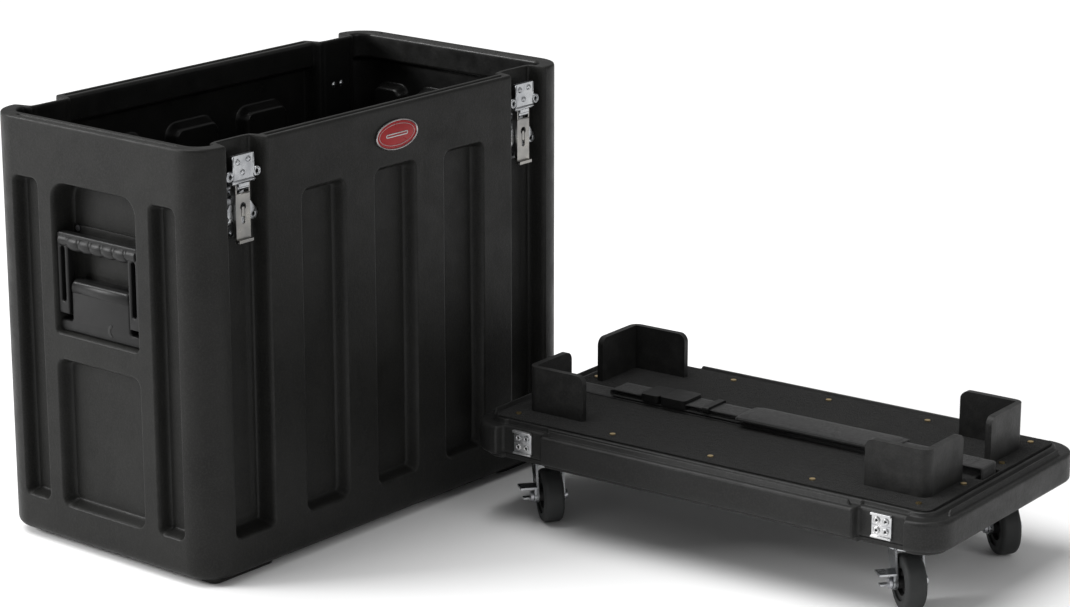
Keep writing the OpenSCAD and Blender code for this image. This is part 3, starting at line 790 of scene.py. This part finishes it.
# ---------------------------------------------------------------- strike details
SPOTS = [(x, z) for x in (-6.6, 6.6) for z in (116.5, 130)]
places = [(turned, x0) for turned in (False, True) for x0 in (-LATCH_X, LATCH_X)]
for k, (turned, x0) in enumerate(places, 1):
    pl = face_place(to_base, x0, -HY + STRIKE_DEPTH, turned)
    face = plate(f"strike_face_{k}", [rect_pts(0, 123, 29, 32, 1.5)], 0.2, 2.2, 0.4, pl, ZINC2, "base")
    if k == 1:
        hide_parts("strike_plates")
    for j, (x, z) in enumerate(SPOTS):
        eye = np.array([(x + 3.1 * math.cos(t), z + 3.1 * math.sin(t), 3.0) for t in np.linspace(0,
                                                                                                 2 * math.pi, 21)])
        rivet = tube(f"strike_ring_{k}_{j}", eye, np.full(21, 1.5), pl, ZINC2, "base", 8)
        if k == 1 and j == 0:
            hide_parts("strike_rivets")
    many(f"strike_eyes_{k}", domes(SPOTS, 3.3, (1.9, 1.9, 0.9)), pl, INNER, "base")
    tube(f"strike_crease_{k}", [(x, 123.3, 2) for x in (-14, 0, 14)], [0.5] * 3, pl, STEEL, "base", 8)
    plate(f"strike_lip_{k}", [rect_pts(0, 138.4, 30, 3.4, 1.0)], 1.5, 6.5, 0.6, pl, ZINC2, "base")
    plate(f"strike_foot_{k}", [rect_pts(0, 107.4, 30, 2.6, 0.8)], 1.0, 5.0, 0.6, pl, ZINC2, "base")


# ---------------------------------------------------------------- strap
Z1, Z2, Z3 = 151.0, 155.0, 163.0           # the three runs along the deck, lowest first
ANCHOR_X, ANCHOR_Z, LOOP_R = 332, 126, 5.05
SLOT_X = 333.75                            # where the webbing rises through the base


def bend(cx, cz, r, angles):
    return [(cx + r * math.cos(math.radians(a)), cz + r * math.sin(math.radians(a))) for a in angles]


def strap_path():
    """Centreline of the left length: up from its anchor, right, back over itself, right again to the buckle."""
    loop = bend(-ANCHOR_X, ANCHOR_Z, LOOP_R, range(180, -61, -20))
    rise = [(0.15 - SLOT_X, 132.5), (-SLOT_X, 138), (-SLOT_X, 144)]
    rise += bend(-331.1, 148.35, 2.65, (180, 150, 120, 95))
    run = [(x, Z1 + 0.2 * math.sin(x / 37.0)) for x in np.arange(-325, 247, 8)]
    fold = bend(250, Z1 + 2, 2, range(-80, 91, 20))
    back = [(x, Z2 + 0.25 * math.sin(x / 29.0)) for x in np.arange(242, -247, -8)]
    turn = [(-250 - 4 * math.cos(math.radians(a)),
             Z2 + 4 + 4 * math.sin(math.radians(a))) for a in range(-80, 91, 20)]
    last = [(x, Z3) for x in np.arange(-244, -197, 6)]
    return loop + rise + run + fold + back + turn + last


def strap_path2():
    """From the buckle through the sleeve, down the right-hand slot and round its anchor."""
    run = [(x,
            Z3 + 0.3 * math.sin(x / 31.0) * smooth((abs(x - 80) - 125) / 40)) for x in np.arange(-129,
                                                                                                 326, 8)]
    drop = bend(331.1, 160.35, 2.65, (85, 60, 30, 0))
    drop += [(SLOT_X, 152), (SLOT_X, 144), (SLOT_X, 138), (SLOT_X - 0.15, 132.5)]
    return run + drop + bend(ANCHOR_X, ANCHOR_Z, LOOP_R, range(60, -181, -20))


def lay_flat(o, at):
    """UV in metres, so the weave keeps one size."""
    uv = o.data.uv_layers.new(name="flat")
    li = np.zeros(len(o.data.loops), np.int32)
    o.data.loops.foreach_get("vertex_index", li)
    uv.data.foreach_set("uv", at[li].ravel())


def ribbon(name, path, width, material):
    """Webbing with thickness along a centreline."""
    p = np.array(path, float)
    seg = np.linalg.norm(np.diff(p, axis=0), axis=1)
    d = np.r_[0, np.cumsum(seg)]
    n = 9
    ys = np.linspace(-width / 2, width / 2, n)
    v = [(x, y, z) for (x, z) in p for y in ys]
    f = grid_faces(len(p), n, wrap=False)
    o = make(name, to_base(np.array(v)), f, material)
    lay_flat(o, np.array([(ys[i % n] * MM, d[i // n] * MM) for i in range(len(v))]))
    m = o.modifiers.new("thick", "SOLIDIFY")
    m.thickness = 1.5 * MM
    m.offset = 0
    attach(o, "base")
    return o, float(d[-1]) * MM


web_a, len_a = ribbon("strap_web_left", strap_path(), 38.0, WEB)
web_b, len_b = ribbon("strap_web_right", strap_path2(), 38.0, WEB)
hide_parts("strap_web")


SLEEVE_X, SLEEVE_HALF = 80, 30


def sleeve_mesh():
    """Padded sleeve round the webbing: two layers sewn along both edges, crowned between, pinched at the ends."""
    along = np.r_[np.linspace(-120, -104, 9), np.linspace(-98, 98, 50), np.linspace(104, 120, 9)]
    n = 20                                 # points across each layer
    section = [(1 - 2 * t, 1) if t < 1 else (-1 + 2 * (t - 1), -1) for t in (k / n for k in range(2 * n))]
    v = []
    wob = np.random.default_rng(4).normal(0, 1, 12)
    for x in along:
        end = smooth((120.5 - abs(x)) / 15)
        sag = 0.35 * sum(wob[j] * math.sin(x / 16.0 * (j + 1) * 0.4 + j) for j in range(6)) / 3
        for u, layer in section:
            yy = SLEEVE_HALF * u
            crown = (1 - abs(u) ** 3.2) ** 0.62 if abs(u) < 1 else 0
            seam = 1 - 0.35 * math.exp(-((abs(yy) - 23) / 1.4) ** 2)
            height = 0.9 + (2.0 + 3.0 * end) * crown * seam
            rise = sag * 0.4 * crown if layer > 0 else 0
            v.append((SLEEVE_X + x, yy * (1 - 0.015 * (1 - end)), Z3 + layer * height + rise))
    f = grid_faces(len(along), 2 * n)
    f.append(tuple(range(2 * n))[::-1])
    f.append(tuple(range((len(along) - 1) * 2 * n, len(along) * 2 * n)))
    o = make("strap_pad", to_base(np.array(v)), f, SLEEVE)
    co = np.zeros(len(o.data.vertices) * 3)
    o.data.vertices.foreach_get("co", co)
    lay_flat(o, co.reshape(-1, 3)[:, [1, 0]])
    return o


pad = sleeve_mesh()
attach(pad, "base")
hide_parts("strap_sleeve")


def stitch(marks, z):
    """Stitches from (point, direction) pairs, at a height given by where they are."""
    return [((x, y, z(y)), (1.7, 0.55, 0.45), (dx, dy, 0), (-dy, dx, 0)) for (x, y), (dx, dy) in marks]


ALONG, ACROSS, SLANT = (1, 0), (0, 1), 0.7071
marks = [((x, y), ALONG) for y in (-27.5, 27.5) for x in np.arange(-37, 198, 4.6)]
marks += [((x, y), ACROSS) for x in (-34, 194) for y in np.arange(-24, 25, 4.6)]
many("pad_stitches", stitch(marks, lambda y: Z3 + (1.9 if abs(y) > 26 else 3.9)), to_base, THREAD, "base")
marks = []
for cx in (-222, -108, 300):               # a crossed box at each
    marks += [((cx + x, y), ALONG) for y in (-15, 15) for x in np.arange(-13, 14, 4.2)]
    marks += [((cx + x, y), ACROSS) for x in (-14, 14) for y in np.arange(-12, 13, 4.2)]
    marks += [((cx + q, s * q), (SLANT, s * SLANT)) for s in (-1, 1) for q in np.arange(-11, 12, 4.2)]
many("web_stitches", stitch(marks, lambda y: Z3 + 0.75), to_base, THREAD, "base")

# ---------------------------------------------------------------- floor, light, camera
floor_m, t, b = clear("floor")
c = obj_coord(t)
t.links.new(ramp(t, noise(t, c, 1.5, 3.0), [(0.3, 0.93), (0.7, 0.95)]), b.inputs["Base Color"])
b.inputs["Roughness"].default_value = 0.9
b.inputs["Specular IOR Level"].default_value = 0.1
bpy.ops.mesh.primitive_plane_add(size=30, location=(0, 0, -0.0005))
floor = bpy.context.object
floor.name = "floor"
floor.data.materials.append(floor_m)


def area(name, loc, target, size, power):
    li = bpy.data.lights.new(name, "AREA")
    li.shape = "RECTANGLE"
    li.size, li.size_y = size
    li.energy = power
    o = bpy.data.objects.new(name, li)
    o.location = loc
    o.rotation_euler = (Vector(target) - Vector(loc)).to_track_quat("-Z", "Y").to_euler()
    bpy.context.collection.objects.link(o)


mid = (-0.05, 0.0, 0.3)
area("key", (-3.3, -2.9, 2.0), mid, (1.6, 1.2), 150)
area("fill", (3.4, -0.4, 1.9), mid, (1.0, 1.6), 16)
sun = bpy.data.lights.new("overhead", "SUN")
sun.energy = 2.5
sun.angle = math.radians(50)
so = bpy.data.objects.new("overhead", sun)
bpy.context.collection.objects.link(so)
so.rotation_euler = Vector((-0.35, -0.15, 0.92)).to_track_quat("Z", "Y").to_euler()
w = bpy.data.worlds.new("studio")
w.use_nodes = True
w.node_tree.nodes["Background"].inputs[0].default_value = (1, 1, 1, 1)
w.node_tree.nodes["Background"].inputs[1].default_value = 0.35
bpy.context.scene.world = w

cam = bpy.data.cameras.new("camera")
cam.sensor_width = 36
cam.lens = 36 * 3185 / 1070
co = bpy.data.objects.new("camera", cam)
co.location = (2.4192, -3.3203, 1.509)
co.rotation_euler = (math.radians(90 - 15.954), 0, math.radians(36.057))
bpy.context.collection.objects.link(co)
bpy.context.scene.camera = co
bpy.context.scene.view_settings.view_transform = "Standard"
